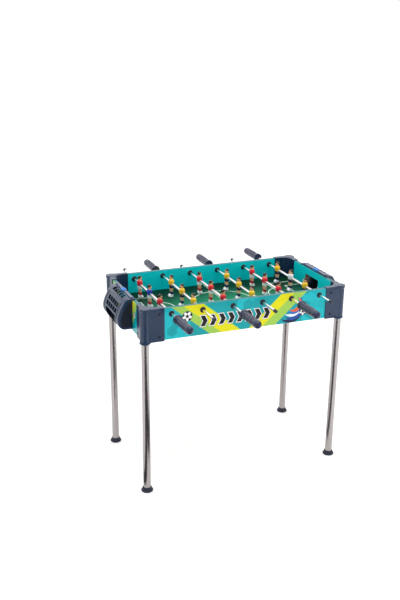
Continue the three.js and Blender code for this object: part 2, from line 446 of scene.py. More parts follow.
def honeycomb(surface, u, v, width):
    """Hexagonal cells: a random number for each, and the distance out from its edge."""
    height = width * math.sqrt(3)
    here = (u % width - width / 2, v % height - height / 2)
    there = ((u - width / 2) % width - width / 2, (v - height / 2) % height - height / 2)
    first = here[0] * here[0] + here[1] * here[1]
    second = there[0] * there[0] + there[1] * there[1]
    nearer = first.use("LESS_THAN", second)
    across = here[0] * nearer + there[0] * (1 - nearer)
    up = here[1] * nearer + there[1] * (1 - nearer)
    cell = surface.tree.nodes.new("ShaderNodeCombineXYZ")
    column = ((u - across) / (width / 2)).use("ROUND")
    row = ((v - up) / (height / 2)).use("ROUND")
    surface.tree.links.new(column.socket, cell.inputs[0])
    surface.tree.links.new(row.socket, cell.inputs[1])
    chance = surface.tree.nodes.new("ShaderNodeTexWhiteNoise")
    surface.tree.links.new(cell.outputs[0], chance.inputs["Vector"])
    edge = across.size().most(across.size() * 0.5 + up.size() * math.sqrt(0.75)) - width / 2
    return Number(surface.tree, chance.outputs["Value"]), edge


def lay_honeycomb(surface, u, v, where):
    """Hexagons in three tints of teal, as far as a mask says."""
    chance, edge = honeycomb(surface, u, v, 31)
    whole = edge.inside() * where
    surface.lay(TURQUOISE, whole * (0.42 - chance).inside(0.02))
    surface.lay(DEEP_TEAL, whole * (chance - 0.16).inside(0.02))
    surface.lay(paint(8, 175, 182), whole * (0.24 - chance).inside(0.02) * (chance - 0.42).inside(0.02))


def lay_football(surface, u, v, centre, radius):
    """A plain football: white, with a black five-sided patch in the middle and five at its edge."""
    across, up = u - centre[0], v - centre[1]
    away = (across * across + up * up).root()
    fifth = 2 * math.pi / 5
    bearing = up.use("ARCTAN2", across) + math.pi / 2
    to_side = (bearing + fifth / 2) % fifth - fifth / 2
    to_corner = bearing % fifth - fifth / 2
    middle = away * to_side.use("COSINE") - radius * 0.3
    sideways = away * to_corner.use("SINE")
    outward = away * to_corner.use("COSINE") - radius * 1.02
    rim = (outward * outward + sideways * sideways).root() - radius * 0.36
    seam = (sideways.size() - radius * 0.045).most(away * -1.0 + radius * 0.3)
    surface.lay(INK, (away - radius * 1.1).inside())
    surface.lay(PAPER_WHITE, (away - radius).inside())
    surface.lay(INK, middle.least(rim).least(seam).most(away - radius).inside())


def lay_crescent(surface, u, v, colour, outer, inner):
    """The part of one circle that lies outside another. Each is a centre and a radius."""
    surface.lay(colour, disc(u, v, *outer).inside() * (1 - disc(u, v, *inner).inside()))


def print_finish(surface):
    """The look of a lacquered print: faint mottling, a slight orange-peel surface and rubbed patches."""
    surface.shader.inputs["Specular IOR Level"].default_value = 0.25
    surface.shade(surface.noise(60, detail=4, seed=3) * 0.07 + 0.965)
    surface.roughen((surface.noise(14, detail=5, seed=6) - 0.5) * 0.2)
    surface.raise_by(surface.noise(1.6, detail=2) * 0.018 + surface.noise(80, detail=1, seed=5) * 0.12)


def side_print():
    """The long panels' outside: two slanted bands, honeycomb, a football and a row of arrowheads."""
    surface = Surface("printed side", TEAL, 0.34)
    facing = (surface.y.use("SIGN")) * -1.0
    u, v = surface.x * facing, surface.z
    rise = v - 560
    middle = panel(u, v, (-2, 596), (34, 22)).inside(1)
    lay_honeycomb(surface, u, v, ((190 - u.size()).inside(2) + middle).least(1.0))
    left = u + rise / 0.8
    right = u - rise / 0.91
    for place, low, high, colour in (
        (left, -185, -147, LIME),
        (left, -147, -87, YELLOW),
        (left, -87, -82, BRIGHT_LIME),
        (right, 56, 60, BRIGHT_LIME),
        (right, 60, 103.5, YELLOW),
        (right, 103.5, 147.7, LIME),
    ):
        surface.lay(colour, (low - place).inside() * (place - high).inside())
    lay_football(surface, u, v, (-200, 578), 15)
    lay_arrowheads(surface, u, v)
    lay_swooshes(surface, u, v)
    print_finish(surface)
    return surface.material


def lay_arrowheads(surface, u, v):
    """A row of black arrowheads with white edges along the middle."""
    pitch = 30.1
    rise = (v - 556.5).size()
    along = (u + 161) % pitch - pitch / 2 + rise * 0.5 - 4.4
    within = (u + 40.6).size() - 4 * pitch
    for grow, colour in ((3.0, INK), (2.3, PAPER_WHITE), (0.0, INK)):
        bar = (along.size() - (7.4 + grow)).most(rise - (17 + grow))
        surface.lay(colour, bar.most(within).inside())


def lay_swooshes(surface, u, v):
    """A football with coloured trails, at the right."""
    for colour, outer, inner in (
        (paint(16, 30, 72), ((150, 556), 44), ((136, 568), 44)),
        (paint(28, 76, 160), ((157, 561), 40), ((143, 573), 42)),
        (paint(236, 240, 246), ((155, 566), 34), ((143, 577), 36)),
        (paint(52, 110, 190), ((160, 570), 30), ((148, 581), 31.5)),
        (paint(226, 92, 50), ((164, 572), 25), ((153, 581), 26)),
    ):
        lay_crescent(surface, u, v, colour, outer, inner)
    lay_football(surface, u, v, (193, 545), 12)


def end_print():
    """The short panels' outside: slanted bands either side of the goal, and honeycomb."""
    surface = Surface("printed end", TEAL, 0.34)
    u, v = surface.y.size(), surface.z
    lay_honeycomb(surface, surface.y, v, (u - 52).inside(2) + (110 - u).inside(2))
    slant = u - (v - 560) / 1.64
    surface.lay(LIME, (76 - slant).inside() * (slant - 98).inside())
    surface.lay(YELLOW, (44 - slant).inside() * (slant - 76).inside())
    lay_football(surface, u, v, (100, 568), 9)
    print_finish(surface)
    return surface.material


def pitch_print():
    """Green felt-like print with white lines."""
    surface = Surface("printed pitch", paint(0, 48, 30), 0.5)
    surface.shader.inputs["Specular IOR Level"].default_value = 0.12
    x, y = surface.x.size(), surface.y
    # Paler green towards the middle and front, darker towards the edges and back.
    spread_from_middle = (x * x * 0.35 + (y + 40) * (y + 40) * 1.6).root()
    surface.lay(paint(0, 138, 96), (spread_from_middle - 120).inside(190))
    width = 3.2
    lines = [
        x - width / 2,
        disc(surface.x, y, (0, 0), 98).size() - width / 2,
        disc(surface.x, y, (0, 0), 3.5),
        disc(x, y, (232, 0), 3),
        panel(x, y, (330, 0), (120, 110)).size() - width / 2,
        panel(x, y, (330, 0), (68, 71.5)).size() - width / 2,
        (disc(x, y, (232, 0), 61).size() - width / 2).most(x - 210),
    ]
    nearest = lines[0]
    for line in lines[1:]:
        nearest = nearest.least(line)
    worn = (surface.noise(3, detail=4, seed=8) - 0.5) * 0.5
    surface.lay(paint(214, 236, 222), (nearest + worn).inside(0.5))
    surface.shade(surface.noise(3.5, detail=5, seed=1) * 0.22 + 0.89)
    surface.roughen((surface.noise(18, detail=5) - 0.5) * 0.25)
    surface.raise_by(surface.noise(1.2, detail=3) * 0.02)
    return surface.material


def fibreboard():
    """Sawn fibreboard: brown, with fine flecks."""
    surface = Surface("raw fibreboard", paint(126, 88, 66), 0.85)
    surface.shade(surface.noise(0.7, detail=4) * 0.6 + 0.7)
    surface.raise_by(surface.noise(0.5, detail=3) * 0.06)
    return surface.material


def plain_lacquer(name, colour):
    """One lacquered colour."""
    surface = Surface(name, colour, 0.36)
    print_finish(surface)
    return surface.material


SIDE_PRINT = side_print()
END_PRINT = end_print()
PITCH_PRINT = pitch_print()
# The panels' inside teal is painted paler than the outside teal: painted light that lifts the shade inside
# the box.
INSIDE_TEAL_PAINTED_LIGHT = plain_lacquer("teal lacquer with painted light", paint(0, 214, 222))
EDGE_BAND = plain_lacquer("grey-green edge band", paint(40, 104, 112))
FIBREBOARD = fibreboard()


def pitch_outline(grow=0.0):
    """The pitch board's outline: its edges lie in the panels' grooves, and its corners clear the legs."""
    x, y = END_IN + GROOVE + grow, SIDE_IN + GROOVE + grow
    near_x, near_y = x - 28.7, y - 32.7
    far_half = [(x, near_y), (near_x, y), (-near_x, y), (-x, near_y)]
    return far_half + [(-u, -v) for u, v in far_half]


def rod_x(index):
    return (index - (RODS - 1) / 2) * ROD_PITCH


def pitch_groove():
    return prism("groove", pitch_outline(GAP), PITCH_TOP - PITCH_THICKNESS - GAP, PITCH_TOP + GAP)


def finish_board(board, axis, side, inner, outside, node):
    """Gives a panel its print outside, teal inside (painted paler as painted light), an edge band on top
    and bare fibreboard elsewhere.
    """
    smoothed(board)

    def choose(middle, normal):
        facing = normal[axis] * side
        if facing > 0.8:
            return 0
        if facing < -0.8 and abs(middle[axis]) < inner + 1:
            return 1
        return 2 if normal.z > 0.5 and middle.z > BOARD_TOP - 2 else 3

    materials = (outside, INSIDE_TEAL_PAINTED_LIGHT, EDGE_BAND, FIBREBOARD)
    hand_over(board, "frame", "printed_board", materials, [node], choose)


def side_board(name, side, node):
    """A long panel with a hole for each bushing."""
    depth = (side * SIDE_IN, side * SIDE_OUT)
    board = block(name, (-SIDE_LENGTH, SIDE_LENGTH), depth, (BOARD_BOTTOM, BOARD_TOP))
    bevelled(board, 0.7)
    tools = [pitch_groove()]
    start, end = min(depth) - 2, max(depth) + 2
    hole = [(0, start), (7.8, start), (7.8, end), (0, end)]
    for index in range(RODS):
        tools.append(turned("hole", hole, 48, "y", (rod_x(index), 0, ROD_Z)))
    cut(board, *tools)
    finish_board(board, 1, side, SIDE_IN, SIDE_PRINT, node)


def end_board(name, side, node):
    """A short panel with a goal mouth."""
    depth = (side * END_IN, side * END_OUT)
    board = block(name, depth, (-END_LENGTH, END_LENGTH), (BOARD_BOTTOM, BOARD_TOP))
    bevelled(board, 0.7)
    mouth = rounded(rectangle(-GOAL_HALF, GOAL_HALF, PITCH_TOP - PITCH_THICKNESS - GAP, GOAL_TOP), 1.5)
    cut(board, pitch_groove(), prism("mouth", mouth, min(depth) - 2, max(depth) + 2, "x"))
    finish_board(board, 0, side, END_IN, END_PRINT, node)


def playfield():
    board = prism("playfield", pitch_outline(), PITCH_TOP - PITCH_THICKNESS, PITCH_TOP)
    bevelled(board, 0.25)
    smoothed(board)

    def choose(middle, normal):
        return 0 if normal.z > 0.8 else 1

    hand_over(board, "frame", "pitch_print", (PITCH_PRINT, FIBREBOARD), ["pitch_board"], choose)


def bushing(name, x, side):
    """A flanged sleeve that a rod turns and slides in."""
    flange = [(4.4, 2.5), (6.6, 2.5), (9.2, 1), (9.2, 0.05), (7.5, 0)]
    profile = [(radius, SIDE_IN - out) for radius, out in flange]
    profile += [(radius, SIDE_OUT + out) for radius, out in reversed(flange)]
    profile = rounded(profile, 0.4, steps=2)
    made = turned(name, profile + [profile[0]], 48, "y", (x, 0, ROD_Z))
    if side < 0:
        made.data.transform(Matrix.Diagonal((1, -1, 1, 1)))
        made.data.flip_normals()
    smoothed(made)
    hand_over(made, "frame", "dark_rubber", (BLACK,))


side_board("board_front", -1, "side_panel_front")
side_board("board_back", 1, "side_panel_back")
end_board("board_left", -1, "end_panel_left")
end_board("board_right", 1, "end_panel_right")
playfield()
for rod in range(RODS):
    bushing(f"bushing_{rod + 1}_front", rod_x(rod), -1)
    bushing(f"bushing_{rod + 1}_back", rod_x(rod), 1)


# Corner brackets, legs and feet.

BRACKET_BOTTOM, BRACKET_TOP, SKIN = 509, 614.5, 2.4
SIDE_REACH, END_REACH, FILLET = 273, 129, 33
COLUMN, RING = 16, 17.6
PLATE_SCREWS = [(290, 597), (290, 525)]
END_SCREWS = [(141, 570), (141, 525)]


def screw_head(name, radius, height):
    """A domed screw head with a cross slot, standing up from the origin."""
    profile = [(0, -1.5), (radius, -1.5, 0), (radius, height * 0.35), (radius * 0.6, height), (0, height)]
    head = turned(name, rounded(profile, 0.5, steps=3, closed=False), 32)
    slot = radius * 0.62
    cut(
        head,
        block("slot", (-slot, slot), (-0.42, 0.42), (height * 0.2, height + 2)),
        block("slot", (-0.42, 0.42), (-slot, slot), (height * 0.2, height + 2)),
    )
    return smoothed(head)


SCREW_MESH = screw_head("screw", 2.9, 1.0)


def place_screw(name, place, direction):
    """A screw whose head points along a direction."""
    made = add_object(name, SCREW_MESH.data)
    aim = Vector(direction).to_track_quat("Z", "Y").to_matrix().to_4x4()
    turn = Matrix.Rotation(place[2] * 0.7, 4, "Z")
    made.matrix_world = Matrix.Translation(Vector(place) * MM) @ aim @ turn
    hand_over(made, "frame", "chromed_tube", (SCREW_STEEL,))


def arc(centre, radius, start, end, steps=10):
    """Points along an arc between two angles in degrees."""
    points = []
    for step in range(steps + 1):
        angle = math.radians(start + (end - start) * step / steps)
        points.append((centre[0] + radius * math.cos(angle), centre[1] + radius * math.sin(angle)))
    return points


def corner_bracket():
    """The bracket at the back right: plates outside the panels, a rounded wall inside, and a column."""
    in_side, in_end = SIDE_IN - GAP - SKIN, END_IN - GAP - SKIN
    out_side, out_end = SIDE_OUT + GAP + SKIN, END_OUT + GAP + SKIN
    outline = [(SIDE_REACH, in_side)]
    outline += arc((in_end - FILLET, in_side - FILLET), FILLET, 90, 0)
    outline += [(in_end, END_REACH), (out_end, END_REACH), (out_end, LEG_Y), (LEG_X, out_side)]
    outline += [(SIDE_REACH, out_side)]
    bracket = prism("bracket", outline, BRACKET_BOTTOM, BRACKET_TOP)
    bevelled(bracket, 0.9, segments=3)
    profile = [
        (0, BRACKET_BOTTOM - 6),
        (RING - 2, BRACKET_BOTTOM - 6),
        (RING, BRACKET_BOTTOM - 3),
        (COLUMN, BRACKET_BOTTOM + 3),
        (COLUMN, BRACKET_TOP - 9),
        (RING, BRACKET_TOP - 6),
        (RING, BRACKET_TOP + 0.8, 1),
        (0, BRACKET_TOP + 1),
    ]
    column = turned("column", rounded(profile, 1.4, closed=False), 72, centre=(LEG_X, LEG_Y, 0))
    joined(bracket, column)
    socket = [(0, 400), (LEG_RADIUS + GAP, 400), (LEG_RADIUS + GAP, LEG_TOP + GAP), (0, LEG_TOP + GAP)]
    slot_top = BOARD_TOP + GAP
    tools = [
        block("slot", (0, SIDE_LENGTH + GAP), (SIDE_IN - GAP, SIDE_OUT + GAP), (0, slot_top)),
        block("slot", (END_IN - GAP, END_OUT + GAP), (0, END_LENGTH + GAP), (0, slot_top)),
        prism("slot", pitch_outline(GAP), 0, PITCH_TOP + GAP),
        turned("socket", socket, 64, centre=(LEG_X, LEG_Y, 0)),
    ]
    for x, z in PLATE_SCREWS:
        hole = [(0, out_side - 1.5), (4.4, out_side - 1.5), (5.2, out_side + 2), (0, out_side + 2)]
        tools.append(turned("hole", hole, 40, "y", (x, 0, z)))
    for y, z in END_SCREWS:
        hole = [(0, out_end - 1.5), (4.4, out_end - 1.5), (5.2, out_end + 2), (0, out_end + 2)]
        tools.append(turned("hole", hole, 40, "x", (0, y, z)))
    cut(bracket, *tools)
    return smoothed(bracket)


def leg_tube():
    inside, bottom = LEG_RADIUS - 1.2, 4 + GAP
    wall = [(inside, bottom), (LEG_RADIUS, bottom), (LEG_RADIUS, LEG_TOP), (inside, LEG_TOP)]
    profile = rounded(wall, 0.4, steps=2)
    return smoothed(turned("tube", profile + [profile[0]], 96))


def leg_foot():
    socket = LEG_RADIUS + GAP
    cup = [
        (0, 0),
        (17.5, 0, 0.8),
        (19, 2, 1.2),
        (19, 4.6, 1.2),
        (15.6, 7.5, 3),
        (14.4, 14, 0.8),
        (socket, 14, 0.5),
        (socket, 4, 0),
        (0, 4),
    ]
    return smoothed(turned("pad", rounded(cup, 1, closed=False), 72))


bracket_shape, tube_shape, foot_shape = corner_bracket(), leg_tube(), leg_foot()
for corner, (sx, sy) in CORNERS.items():
    bracket = mirrored(bracket_shape, "corner_" + corner, sx, sy)
    hand_over(bracket, "frame", "navy_plastic", (NAVY,), ["corner_bracket_" + corner])
    for shape, name, slot, material, node in (
        (tube_shape, "tube_", "chromed_tube", CHROME_TUBE, "leg_"),
        (foot_shape, "pad_", "dark_rubber", RUBBER, "foot_"),
    ):
        made = add_object(name + corner, shape.data.copy())
        made.data.transform(Matrix.Translation(Vector((sx * LEG_X, sy * LEG_Y, 0)) * MM))
        hand_over(made, "frame", slot, (material,), [node + corner])
    face_y = SIDE_OUT + GAP + SKIN - 1.2
    face_x = END_OUT + GAP + SKIN - 1.2
    for number, (x, z) in enumerate(PLATE_SCREWS, 1):
        place_screw(f"side_screw_{corner}_{number}", (sx * x, sy * face_y, z), (0, sy, 0))
    for number, (y, z) in enumerate(END_SCREWS, 1):
        place_screw(f"end_screw_{corner}_{number}", (sx * face_x, sy * y, z), (sx, 0, 0))
for shape in (bracket_shape, tube_shape, foot_shape):
    bpy.data.objects.remove(shape)


# Rods, handles and end caps.

IN_HANDLE, IN_CAP = 300, 271
HANDLE_START, HANDLE_END = 256, 364


GRIP_STATIONS = [(HANDLE_START, 14.4), (263.5, 14.4), (265.5, 12), (270, 11.6), (300, 12.4), (334, 12.5)]
GRIP_STATIONS += [(337, 12), (340, 12.6), (350, 12.6), (355, 11.7), (359, 9.9), (362, 7), (363.5, 3.6)]
GRIP_STATIONS += [(HANDLE_END, 0)]
GRIP_TURN = math.radians(17)


def grip_radius(along):
    """The handle's plain radius at a distance from the rod's middle."""
    for (low, first), (high, second) in zip(GRIP_STATIONS, GRIP_STATIONS[1:]):
        if along <= high:
            return first + (second - first) * (along - low) / (high - low)
    return 0.0


def grip_relief(along, angle):
    """How far the grip's pattern stands out: three long slots with raised rims, and three ribbed panels."""
    if not 269 < along < 335:
        return 0.0
    sector = math.pi / 3
    angle += GRIP_TURN
    turn = (angle + sector / 2) % sector - sector / 2
    number = int(((angle + sector / 2) % (2 * math.pi)) // sector)
    across = abs(turn) * grip_radius(along)
    if number % 2:
        away = math.hypot(max(abs(along - 301.5) - 23, 0), across) - 2.6
        rim = max(0, 1 - abs(away - 0.7) / 1.1)
        return 0.6 * rim - 1.4 * min(max(-away / 0.8, 0), 1)
    away = math.hypot(max(abs(along - 302) - 21, 0), across) - 5.3
    depth = min(max(-away / 0.7, 0), 1)
    rib = 0.5 + 0.5 * math.cos(2 * math.pi * (along + 0.35 * turn * grip_radius(along)) / 8.8)
    return 0.5 * max(0, 1 - abs(away - 0.5) / 0.9) - 1.3 * depth * (1 - rib**0.7)


def handle_shape():
    rows = 150
    bore = ROD_RADIUS + 0.15
    collar = GRIP_STATIONS[0][1]
    inside = [(0, IN_HANDLE + GAP), (bore, IN_HANDLE + GAP), (bore, HANDLE_START)]
    inside += [(collar - 0.6, HANDLE_START), (collar, HANDLE_START + 0.6)]
    first = HANDLE_START + 1
    lengths = [first + (HANDLE_END - first) * row / rows for row in range(rows + 1)]

    def profile(angle):
        return inside + [(grip_radius(along) + grip_relief(along, angle), along) for along in lengths]

    return smoothed(turned("grip", profile, 120, "y"), sharp=50)


def choose_grip(middle, normal):
    """The raised rims and ribs get the paler plastic, as a painted highlight."""
    return 1 if grip_relief(middle.y, math.atan2(middle.z, middle.x)) > 0.2 else 0


def rod_shape():
    ends = [(0, -IN_CAP), (ROD_RADIUS, -IN_CAP), (ROD_RADIUS, IN_HANDLE), (0, IN_HANDLE)]
    return smoothed(turned("bar", rounded(ends, 0.5, steps=3, closed=False), 64, "y"))


def tip_shape():
    """The small cap on a rod's bare end, drawn towards +Y."""
    bore = ROD_RADIUS + 0.15
    profile = [
        (0, IN_CAP + GAP),
        (bore, IN_CAP + GAP, 0),
        (bore, IN_CAP - 9, 0),
        (5.6, IN_CAP - 9, 0.4),
        (5.6, IN_CAP + 1, 1.2),
        (3.6, IN_CAP + 3, 0.8),
        (0, IN_CAP + 3),
    ]
    return smoothed(turned("tip", rounded(profile, 0.5, closed=False), 48, "y"))


def turned_round(shape, name, place, flip=False):
    """An object that shares a shape, at a place, turned half round Z if it flips."""
    made = add_object(name, shape.data)
    turn = Matrix.Rotation(math.pi if flip else 0, 4, "Z")
    made.matrix_world = Matrix.Translation(Vector(place) * MM) @ turn
    return made


# Player figures, at the rod's axis and facing +X.


def ball(name, centre, radii, segments=32):
    """A ball stretched to three radii."""
    points = []
    for step in range(17):
        angle = math.pi * step / 16
        points.append((math.sin(angle), -math.cos(angle)))
    made = turned(name, points, segments)
    for vertex in made.data.vertices:
        vertex.co = Vector([c * r for c, r in zip(vertex.co / MM, radii)]) + Vector(centre)
        vertex.co *= MM
    return made


def stack(name, levels, power=2.6, around=32):
    """A solid through levels, each (height, half depth, half width, centre x, centre y)."""
    points, faces = [], []
    for height, depth, width, x, y in levels:
        for step in range(around):
            angle = 2 * math.pi * step / around
            c, s = math.cos(angle), math.sin(angle)
            across = math.copysign(abs(c) ** (2 / power), c) * depth
            along = math.copysign(abs(s) ** (2 / power), s) * width
            points.append((x + across, y + along, height))
    last = len(levels) - 1
    for level in range(last):
        for step in range(around):
            following = (step + 1) % around
            low, high = level * around, (level + 1) * around
            faces.append([low + step, low + following, high + following, high + step])
    faces.append(list(range(around)))
    faces.append(list(range(last * around, (last + 1) * around)))
    return piece_from(name, points, faces)


def limb(name, start, end, first, second):
    """A tapered round bar with ball ends between two points."""
    start, end = Vector(start), Vector(end)
    length = (end - start).length
    profile = [(0, -first)]
    profile += [(first * math.cos(a), first * math.sin(a)) for a in (-1.1, -0.6, 0)]
    profile += [(second * math.cos(a), length + second * math.sin(a)) for a in (0, 0.6, 1.1)]
    profile += [(0, length + second)]
    made = turned(name, profile, 24)
    turn = (end - start).to_track_quat("Z", "Y").to_matrix().to_4x4()
    made.data.transform(Matrix.Translation(start * MM) @ turn)
    return made


def figure_shape():
    """One moulding: a standing player with arms at the sides and both boots on a kicking foot."""
    shirt = [(-7, 7.2, 9.2), (-1, 8.4, 9.4), (6, 8.8, 10.2), (11, 7.4, 9.4), (14.2, 4, 6)]
    shorts = [(-15.5, 7.2, 9.4), (-10, 7.4, 9.4), (-4, 7, 9)]
    foot = [(-46.5, 7.4, 7.8), (-45.2, 8.2, 8.1), (-42, 8.2, 7.9), (-40.4, 7, 6.8)]
    parts = [
        ball("head", (0.4, 0, 20.2), (6.4, 5.9, 7.4)),
        ball("hair", (-0.7, 0, 22.2), (6.6, 6.3, 6.4)),
        ball("nose", (6.8, 0, 19.2), (1.2, 1.0, 1.4)),
        limb("neck", (0, 0, 10), (0.2, 0, 15), 3.4, 3.2),
        stack("shirt", [(*level, 0, 0) for level in shirt]),
        stack("shorts", [(*level, 0, 0) for level in shorts]),
        stack("web", [(-41, 2.6, 3.2, 0, 0), (-14, 3.2, 3.4, 0, 0)]),
        stack("foot", [(*level, 2.0, 0) for level in foot]),
    ]
    boot = [(-46.5, 7, 3.9, 2.4), (-44.4, 8.2, 4.2, 2.6), (-41, 7.4, 4.1, 2.2)]
    boot += [(-38, 5.4, 4, 0.6), (-36, 4.6, 4.1, 0)]
    for side in (-1, 1):
        parts += [
            ball("ear", (0.2, side * 6.0, 19.6), (1.3, 0.8, 1.8)),
            limb("sleeve", (-0.3, side * 8.4, 10.2), (-0.8, side * 10.4, 3.6), 3.5, 3.1),
            limb("arm", (-0.8, side * 10.4, 3), (1.6, side * 9.7, -5.4), 2.5, 2.2),
            limb("thigh", (0, side * 4.6, -14), (0.3, side * 4.5, -26), 5.2, 4.6),
            limb("calf", (0.3, side * 4.5, -25), (0, side * 4.4, -38), 4.7, 4.2),
            limb("cuff", (0.3, side * 4.5, -25), (0.3, side * 4.5, -26.4), 5.0, 4.9),
            stack("boot", [(*level, side * 4.3) for level in boot]),
        ]
    figure = parts[0]
    shape = bmesh.new()
    for part in parts:
        shape.from_mesh(part.data)
    shape.to_mesh(figure.data)
    shape.free()
    for part in parts[1:]:
        bpy.data.objects.remove(part)
    remesh = figure.modifiers.new("mould", "REMESH")
    remesh.mode = "VOXEL"
    remesh.voxel_size = 0.62 * MM
    soften = figure.modifiers.new("soften", "SMOOTH")
    soften.factor = 0.6
    soften.iterations = 4
    bake(figure)
    bore = [(0, -20), (ROD_RADIUS + 0.1, -20), (ROD_RADIUS + 0.1, 20), (0, 20)]
    cut(figure, turned("bore", bore, 40, "y"))
    figure.data.shade_smooth()
    figure.data.set_sharp_from_angle(angle=math.radians(60))
    return figure


def kit(name, shirt, shorts, socks, boots=paint(248, 249, 252)):
    """A figure's painted moulding: boots, socks, skin, shorts, shirt, face and hair by their height."""
    skin = paint(244, 184, 132)
    surface = Surface(name, shirt, 0.38)
    x, y, z = surface.x, surface.y, surface.z
    brush = (surface.noise(2.2, detail=3, seed=5) - 0.5) * 0.9
    height = z + brush
    side = y.size()
    surface.lay(shorts, (height + 4.4).inside())
    surface.lay(skin, (height + 15.2).inside())
    surface.lay(socks, (height + 24.4).inside())
    surface.lay(boots, (height + 36.4).inside())
    forearm = (height - 1.6).inside() * (9.4 - side).inside() * (-9 - height).inside()
    surface.lay(skin, forearm)
    surface.lay(paint(240, 240, 236), ((height + 26).size() - 0.7).inside() * (height + 24.4).inside())
    surface.lay(skin, (13.7 - height).inside())
    hair = (x * 0.5 - (z - 21.6) + brush * 0.6).inside() * (16.4 - z).inside()
    surface.lay(paint(34, 24, 20), hair)
    eye = disc(side, z, (2.2, 20.6), 0.8).inside(0.2) * (3.5 - x).inside()
    brow = panel(side, z, (2.3, 22.3), (1.3, 0.3)).inside(0.2) * (3.5 - x).inside()
    mouth = panel(side, z, (0, 16.4), (1.5, 0.3)).inside(0.2) * (3.5 - x).inside()
    surface.lay(paint(40, 28, 24), (eye + brow).least(1.0))
    surface.lay(paint(176, 92, 80), mouth)
    surface.lay(paint(60, 64, 76), (z + 45.9).inside())
    surface.shade(surface.noise(7, detail=4, seed=1) * 0.12 + 0.94)
    surface.roughen((surface.noise(3, detail=4, seed=3) - 0.5) * 0.3)
    folds = surface.noise(4.5, detail=2, stretch=(1, 1, 0.7), seed=9) * 0.25
    surface.raise_by(surface.noise(0.9, detail=2) * 0.02 + folds)
    return surface.material


WHITE_CLOTH, NAVY_CLOTH = paint(238, 238, 242), paint(30, 34, 78)
KITS = {
    "red_kit": kit("red figure", paint(228, 24, 48), WHITE_CLOTH, paint(206, 30, 40)),
    "yellow_kit": kit("yellow figure", paint(252, 200, 24), NAVY_CLOTH, NAVY_CLOTH),
    "blue_kit": kit("blue figure", paint(24, 56, 168), WHITE_CLOTH, paint(206, 30, 40)),
    "white_kit": kit("white figure", WHITE_CLOTH, NAVY_CLOTH, NAVY_CLOTH),
}


def kit_of(rod, spot):
    if spot == "middle" and rod == 0:
        return "blue_kit"
    if spot == "middle" and rod == RODS - 1:
        return "white_kit"
    return "red_kit" if rod % 2 == 0 else "yellow_kit"


shapes = {"bar": rod_shape(), "grip": handle_shape(), "tip": tip_shape()}
base_figure = figure_shape()
for kit_name in KITS:
    shapes[kit_name] = base_figure.copy()
    shapes[kit_name].data = base_figure.data.copy()
bpy.data.objects.remove(base_figure)

for rod in range(RODS):
    number = rod + 1
    turning = f"rod_{number}_turning"
    handle_at_back = rod % 2 == 1
    centre = (rod_x(rod), ROD_REST[rod], ROD_Z)
    bar = turned_round(shapes["bar"], f"bar_{number}", centre, not handle_at_back)
    hand_over(bar, turning, "chromed_tube", (CHROME_ROD,), [f"rod_{number}"])
    grip = turned_round(shapes["grip"], f"grip_{number}", centre, not handle_at_back)
    hand_over(grip, turning, "navy_plastic", (GRIP_NAVY, GRIP_HIGHLIGHT), [f"handle_{number}"])
    tip = turned_round(shapes["tip"], f"tip_{number}", centre, handle_at_back)
    hand_over(tip, f"rod_{number}_carriage", "dark_rubber", (BLACK,), [f"rod_end_cap_{number}"])
    for spot, step in (("front", -1), ("middle", 0), ("back", 1)):
        colours = kit_of(rod, spot)
        place = (centre[0], centre[1] + 100 * step, ROD_Z)
        figure = turned_round(shapes[colours], f"figure_{number}_{spot}", place, handle_at_back)
        hand_over(figure, turning, colours, (KITS[colours],), [f"player_{number}_{spot}"])


# Ball baskets, score rails and sliders.

BASKET_HALF, CHEEK, WALL = 84, 74, 2.6
BASKET_BOTTOM, BASKET_TOP, REACH, WAIST = 519, 615.5, 386, 548
RAIL_X, RAIL_WIDTH, RAIL_HALF, RAIL_BLOCK = 337, 9, 73.5, 6.5
RAIL_BOTTOM, RAIL_TOP = 615, 617.8
BASKET_SCREW_Y = 65
BASKET_SCREWS = [(368, 592, 0.86, 0.5), (377.5, 573, 0.95, 0.3)]


def basket_outline(inset, back):
    """The basket's side view in X and Z, set in by a distance, from a given back."""
    bottom, top, reach = BASKET_BOTTOM + inset, BASKET_TOP - inset, REACH - inset
    shoulder = (reach - 25, top - 6)
    flat = max(reach - 40, back + 1)
    points = [(back, bottom), (362, bottom)]
    points += curve((362, bottom), (377, bottom), (reach, 533), (reach, WAIST), 12)
    points += curve((reach, WAIST), (reach, 569), (reach - 14, 591), shoulder, 16)
    points += curve(shoulder, (reach - 28, top - 1), (flat + 6, top), (flat, top), 8)
    points += [(back, top)]
    return points


def skin_tool(depth, outline):
    """What removes the basket's curved skin down to a depth, within an outline in Y and Z."""
    tool = prism("skin", basket_outline(-3, 345), -BASKET_HALF - 5, BASKET_HALF + 5, "y")
    cut(tool, prism("core", basket_outline(depth, 330), -BASKET_HALF - 9, BASKET_HALF + 9, "y"))
    return combined(tool, [prism("limit", outline, 300, 420, "x")], "INTERSECT")


